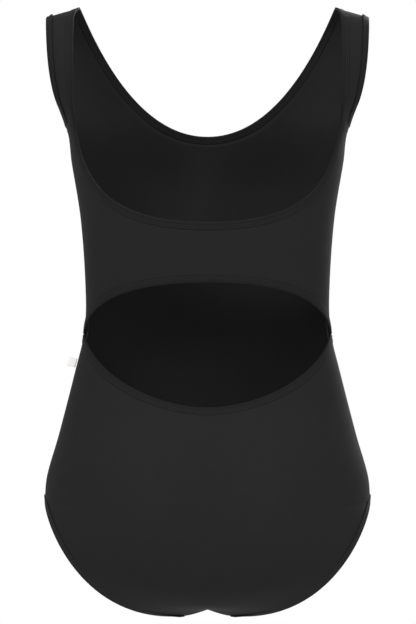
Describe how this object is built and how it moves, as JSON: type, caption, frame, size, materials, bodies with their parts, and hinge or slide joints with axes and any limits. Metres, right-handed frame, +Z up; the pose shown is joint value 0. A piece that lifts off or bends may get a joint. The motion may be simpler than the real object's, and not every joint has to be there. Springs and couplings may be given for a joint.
{
  "type": "gymnastics leotard",
  "caption": "Sleeveless pull-on leotard with bound edges, a deep scooped back, a back band and an eye-shaped waist cutout, shown in its worn shape.",
  "frame": {"origin": "midway between the tops of the two shoulder straps; the garment hangs below it", "axes": "+Z up, +Y the wearer's back, +X the wearer's left"},
  "size_m": [0.3386, 0.212, 0.6285],
  "materials": {
    "outer_jersey": "matt, faint sheen",
    "lining_mesh": "matt",
    "binding_jersey": "matt, faint sheen",
    "elastic_tape": "matt",
    "seam_thread": "matt",
    "tab_ribbon": "satin",
    "label_satin": "satin"
  },
  "bodies": {
    "garment": {"front_panel": "outer_jersey", "upper_back_panel": "outer_jersey", "seat_panel": "outer_jersey", "front_lining": "lining_mesh", "gusset_lining": "lining_mesh", "neck_binding": "binding_jersey", "upper_cutout_binding": "binding_jersey", "lower_cutout_binding": "binding_jersey", "left_armhole_binding": "binding_jersey", "left_leg_binding": "binding_jersey", "right_armhole_binding": "binding_jersey", "right_leg_binding": "binding_jersey", "neck_elastic": "elastic_tape", "upper_cutout_elastic": "elastic_tape", "lower_cutout_elastic": "elastic_tape", "left_armhole_elastic": "elastic_tape", "left_leg_elastic": "elastic_tape", "right_armhole_elastic": "elastic_tape", "right_leg_elastic": "elastic_tape", "left_side_seam": "seam_thread", "left_shoulder_seam": "seam_thread", "right_side_seam": "seam_thread", "right_shoulder_seam": "seam_thread", "crotch_seam": "seam_thread"},
    "tab": {"side_tab": "tab_ribbon"},
    "label": {"care_label": "label_satin"}
  },
  "joints": [
    {"name": "tab_flex", "type": "hinge", "parent": "garment", "child": "tab", "pos_m": [0.13516, 0, -0.36566], "axis": [-0.2512, 0, 0.9679], "range_deg": [-60, 60], "stiffness_Nm_per_rad": 0.00005},
    {"name": "label_flex", "type": "hinge", "parent": "garment", "child": "label", "pos_m": [0.14373, 0, -0.42109], "axis": [-0.2563, 0, 0.9666], "range_deg": [-30, 78], "stiffness_Nm_per_rad": 0.0005}
  ]
}
